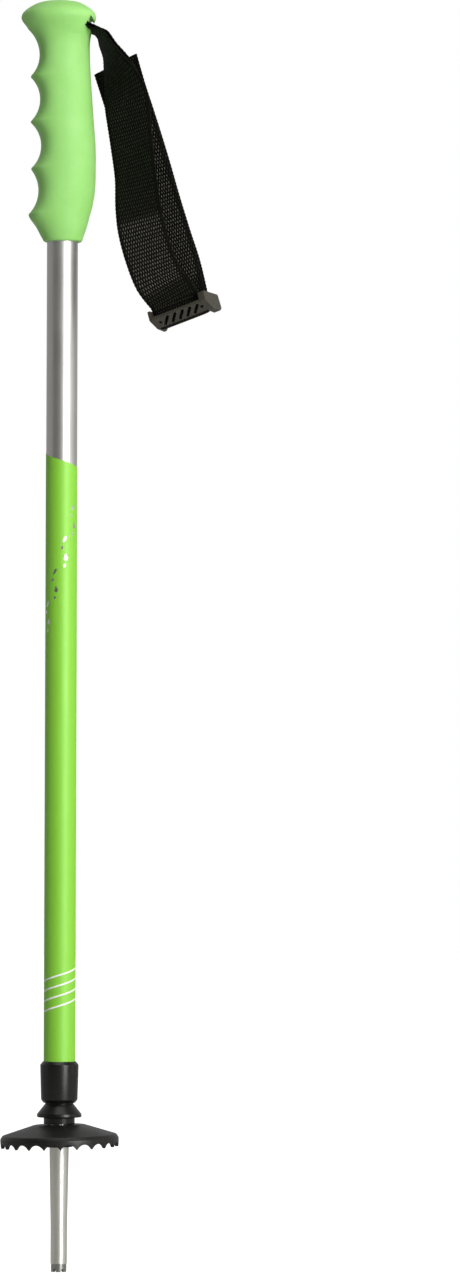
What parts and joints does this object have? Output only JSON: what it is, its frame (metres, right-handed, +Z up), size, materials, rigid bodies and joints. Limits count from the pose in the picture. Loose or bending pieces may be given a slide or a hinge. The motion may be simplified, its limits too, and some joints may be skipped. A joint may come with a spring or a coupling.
{
  "type": "ski pole",
  "caption": "Short alpine ski pole: moulded finger grip with a buckled wrist strap, a slim tube with a printed film, a toothed snow basket and a crowned metal tip.",
  "frame": {"origin": "end of the tip, on the axis of the shaft", "axes": "+Z up the shaft to the grip, +X towards the side that the wrist strap hangs on, -X towards the finger grooves"},
  "size_m": [0.1127, 0.061, 0.656],
  "materials": {
    "grip_rubber": "matte soft-touch moulding",
    "satin_aluminium": "satin, drawn along its length",
    "green_film": "satin metallic film with pale bands and small flecks",
    "black_plastic": "fine moulded grain",
    "basket_plastic": "fine moulded grain, a little flexible",
    "stem_metal": "satin, turned",
    "hard_steel": "dark, hardened",
    "steel": "plain pin",
    "webbing": "plain-woven narrow webbing",
    "buckle_plastic": "fine moulded grain"
  },
  "bodies": {
    "pole": {"grip_body": "grip_rubber", "strap_pin": "steel", "strap_root": "webbing", "shaft_plug": "black_plastic", "shaft_tube": "satin_aluminium", "shaft_film": "green_film", "stem_bush": "black_plastic", "collar": "black_plastic", "stem": "stem_metal", "crown_tip": "hard_steel"},
    "strap": {"strap_front": "webbing", "strap_rear": "webbing", "strap_eye": "webbing", "strap_wrap": "webbing"},
    "tail": {"strap_tail": "webbing"},
    "buckle": {"buckle_frame": "buckle_plastic"},
    "basket": {"basket": "basket_plastic"}
  },
  "joints": [
    {"name": "strap_swing", "type": "hinge", "parent": "pole", "child": "strap", "pos_m": [0.01701, 0, 0.64165], "axis": [0, -1, 0], "range_deg": [-4, 95]},
    {"name": "buckle_tilt", "type": "hinge", "parent": "strap", "child": "buckle", "pos_m": [0.06282, 0.00015, 0.49449], "axis": [0.8513, -0.4384, 0.2882], "range_deg": [0, 15]},
    {"name": "tail_flap", "type": "hinge", "parent": "strap", "child": "tail", "pos_m": [0.06345, 0.0047, 0.49956], "axis": [-0.8513, 0.4384, -0.2882], "range_deg": [0, 30], "stiffness_Nm_per_rad": 0.05},
    {"name": "basket_spin", "type": "hinge", "parent": "pole", "child": "basket", "pos_m": [0, 0, 0.0754], "axis": [-0.0227, 0, 0.9997], "continuous": true}
  ]
}
